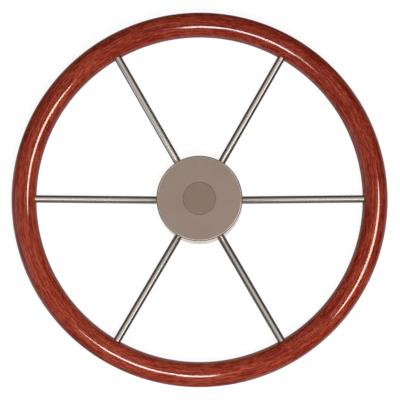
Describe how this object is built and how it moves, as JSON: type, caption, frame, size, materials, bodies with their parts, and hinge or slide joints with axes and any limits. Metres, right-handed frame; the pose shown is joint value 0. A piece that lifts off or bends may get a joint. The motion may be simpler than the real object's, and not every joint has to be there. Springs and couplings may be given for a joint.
{
  "type": "boat steering wheel",
  "caption": "Boat steering wheel with a round varnished wooden rim, straight polished round spokes and a flat-faced metal hub for a tapered helm shaft.",
  "frame": {"origin": "centre of the hub boss's back face, on the shaft's axis", "axes": "+Z along the shaft's axis from the back face towards the driver, +X along one spoke, +Y up in the picture"},
  "size_m": [0.4499, 0.45, 0.0515],
  "materials": {
    "varnished_wood": "reddish brown hardwood under glossy clear varnish",
    "polished_steel": "mirror polished stainless steel",
    "satin_cover": "fine satin",
    "cap_metal": "fine satin, a little darker than the cover",
    "turned_steel": "as turned",
    "core_steel": "bare drawn bar",
    "screw_steel": "bright stainless steel",
    "seal_rubber": "matt black"
  },
  "bodies": {
    "root": {"rim_front": "varnished_wood", "rim_rear": "varnished_wood", "rim_core_ring": "core_steel", "spoke_1": "polished_steel", "spoke_2": "polished_steel", "spoke_3": "polished_steel", "spoke_4": "polished_steel", "spoke_5": "polished_steel", "spoke_6": "polished_steel", "hub_boss": "turned_steel", "hub_ring": "turned_steel", "front_cover": "satin_cover", "rear_cover": "satin_cover", "centre_cap": "cap_metal", "cap_o_ring": "seal_rubber", "rear_cover_screws": "screw_steel"}
  },
  "joints": []
}
